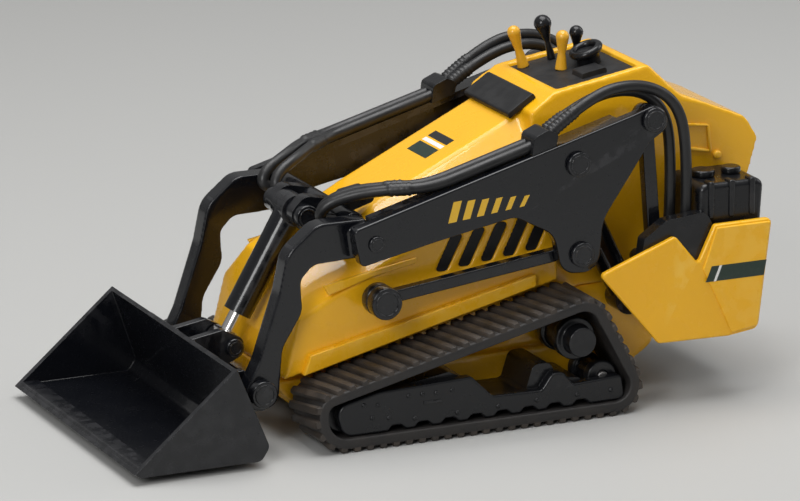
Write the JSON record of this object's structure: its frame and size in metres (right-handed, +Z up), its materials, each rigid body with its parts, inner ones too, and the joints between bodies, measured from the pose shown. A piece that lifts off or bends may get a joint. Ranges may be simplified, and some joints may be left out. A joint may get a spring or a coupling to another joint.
{
  "type": "toy front loader",
  "caption": "Die-cast toy of a stand-on compact tracked loader with lifting arms, tilting bucket, control levers, side tanks and rubber tracks",
  "frame": {"origin": "centre of the overall box on the resting plane under the tracks", "axes": "+X forward to the bucket, +Y to the machine's left, +Z up"},
  "size_m": [0.0999, 0.0448, 0.051],
  "materials": {
    "yellow_enamel": "gloss yellow enamel over die-cast metal",
    "yellow_plastic": "moulded yellow plastic",
    "black_enamel": "gloss black enamel over die-cast metal",
    "black_plastic": "black injection-moulded plastic, satin to gloss",
    "track_rubber": "dull brown-black moulded rubber",
    "hose_rubber": "black flexible moulded hose",
    "chrome": "bright plated rod",
    "bare_steel": "plain steel"
  },
  "bodies": {
    "root": {"lower_chassis": "yellow_enamel", "body_shell": "yellow_enamel", "side_louvres": "black_plastic", "console_mat": "black_plastic", "hood_pad": "black_plastic", "drive_lever_left": "yellow_plastic", "drive_lever_right": "yellow_plastic", "loader_lever": "black_plastic", "auxiliary_lever": "black_plastic", "cup_ring": "black_plastic", "side_tank_left": "black_plastic", "side_tank_right": "black_plastic", "tank_caps": "black_plastic", "side_guard_left": "yellow_enamel", "side_guard_right": "yellow_enamel", "operator_platform": "black_plastic", "base_plate": "black_plastic", "base_screws": "bare_steel", "track_frame_left": "black_plastic", "track_frame_right": "black_plastic", "track_belt_left": "track_rubber", "track_belt_right": "track_rubber", "track_axles": "bare_steel", "control_link_pins": "black_enamel", "rear_link_pins": "black_enamel", "lift_foot_pins": "black_enamel"},
    "control_links": {"control_link_left": "black_enamel", "control_link_right": "black_enamel"},
    "rear_links": {"rear_link_left": "black_enamel", "rear_link_right": "black_enamel"},
    "lift_barrels": {"lift_barrel_left": "black_enamel", "lift_barrel_right": "black_enamel"},
    "lift_rods": {"lift_rod_left": "black_enamel", "lift_rod_right": "black_enamel"},
    "lift_arm": {"arm_side_left": "black_enamel", "arm_side_right": "black_enamel", "arm_leg_left": "black_enamel", "arm_leg_right": "black_enamel", "arm_cross_tube": "black_enamel", "tilt_ears": "black_enamel", "auxiliary_coupler": "black_plastic", "arm_rivets": "black_enamel", "rear_pivot_pins": "black_enamel", "tilt_top_pin": "black_enamel", "arm_hoses": "hose_rubber", "hose_clamps": "black_plastic", "hose_loop_left": "hose_rubber", "hose_loop_right": "hose_rubber"},
    "tilt_barrel": {"tilt_barrel": "black_enamel"},
    "tilt_rod": {"tilt_rod": "chrome"},
    "bucket": {"bucket_shell": "black_enamel", "cutting_edge": "black_enamel", "attach_plate": "black_enamel", "bucket_pins": "black_enamel"},
    "drive_wheel_left": {"drive_wheel_left": "black_plastic"},
    "rear_idler_left": {"rear_idler_left": "black_plastic"},
    "front_idler_left": {"front_idler_left": "black_plastic"},
    "drive_wheel_right": {"drive_wheel_right": "black_plastic"},
    "rear_idler_right": {"rear_idler_right": "black_plastic"},
    "front_idler_right": {"front_idler_right": "black_plastic"}
  },
  "joints": [
    {"name": "rear_link_swing", "type": "hinge", "parent": "root", "child": "rear_links", "pos_m": [-0.0308, 0, 0.0195], "axis": [0, -1, 0], "range_deg": [-4, 1]},
    {"name": "lift_arm_raise", "type": "hinge", "parent": "rear_links", "child": "lift_arm", "pos_m": [-0.02895, 0, 0.04115], "axis": [0, -1, 0], "range_deg": [0, 67], "deforming": ["hose_loop_left", "hose_loop_right"]},
    {"name": "control_link_swing", "type": "hinge", "parent": "root", "child": "control_links", "pos_m": [0.0113, 0, 0.0196], "axis": [0, -1, 0], "range_deg": [-46, 1]},
    {"name": "lift_barrel_swing", "type": "hinge", "parent": "root", "child": "lift_barrels", "pos_m": [-0.028, 0, 0.0145], "axis": [0, -1, 0], "range_deg": [-1, 11]},
    {"name": "lift_rod_slide", "type": "slide", "parent": "lift_barrels", "child": "lift_rods", "axis": [0.4405, 0, 0.8977], "range_m": [-0.0002, 0.0123]},
    {"name": "bucket_tilt", "type": "hinge", "parent": "lift_arm", "child": "bucket", "pos_m": [0.02875, 0, 0.0085], "axis": [0, -1, 0], "range_deg": [-45, 25]},
    {"name": "tilt_barrel_swing", "type": "hinge", "parent": "lift_arm", "child": "tilt_barrel", "pos_m": [0.0174, 0, 0.0293], "axis": [0, -1, 0], "range_deg": [-5, 7]},
    {"name": "tilt_rod_slide", "type": "slide", "parent": "tilt_barrel", "child": "tilt_rod", "axis": [0.503, 0, -0.8643], "range_m": [-0.0012, 0.0018]},
    {"name": "drive_wheel_left_spin", "type": "hinge", "parent": "root", "child": "drive_wheel_left", "pos_m": [-0.0173, 0.0154, 0.0112], "axis": [0, 1, 0], "continuous": true},
    {"name": "rear_idler_left_spin", "type": "hinge", "parent": "root", "child": "rear_idler_left", "pos_m": [-0.0214, 0.0154, 0.0052], "axis": [0, 1, 0], "continuous": true},
    {"name": "front_idler_left_spin", "type": "hinge", "parent": "root", "child": "front_idler_left", "pos_m": [0.0181, 0.0154, 0.0048], "axis": [0, 1, 0], "continuous": true},
    {"name": "drive_wheel_right_spin", "type": "hinge", "parent": "root", "child": "drive_wheel_right", "pos_m": [-0.0173, -0.0154, 0.0112], "axis": [0, 1, 0], "continuous": true},
    {"name": "rear_idler_right_spin", "type": "hinge", "parent": "root", "child": "rear_idler_right", "pos_m": [-0.0214, -0.0154, 0.0052], "axis": [0, 1, 0], "continuous": true},
    {"name": "front_idler_right_spin", "type": "hinge", "parent": "root", "child": "front_idler_right", "pos_m": [0.0181, -0.0154, 0.0048], "axis": [0, 1, 0], "continuous": true}
  ],
  "couplings": [
    {"joint": "rear_link_swing", "follows": "lift_arm_raise", "ratio": -0.04433},
    {"joint": "control_link_swing", "follows": "lift_arm_raise", "ratio": -0.67164},
    {"joint": "lift_barrel_swing", "follows": "lift_arm_raise", "ratio": 0.15567},
    {"joint": "lift_rod_slide", "follows": "lift_arm_raise", "m_per_rad": 0.010254},
    {"joint": "tilt_barrel_swing", "follows": "bucket_tilt", "ratio": -0.12052},
    {"joint": "tilt_rod_slide", "follows": "bucket_tilt", "m_per_rad": -0.001908},
    {"joint": "rear_idler_left_spin", "follows": "drive_wheel_left_spin", "ratio": 1.3333},
    {"joint": "front_idler_left_spin", "follows": "drive_wheel_left_spin", "ratio": 1.2245},
    {"joint": "rear_idler_right_spin", "follows": "drive_wheel_right_spin", "ratio": 1.3333},
    {"joint": "front_idler_right_spin", "follows": "drive_wheel_right_spin", "ratio": 1.2245}
  ]
}
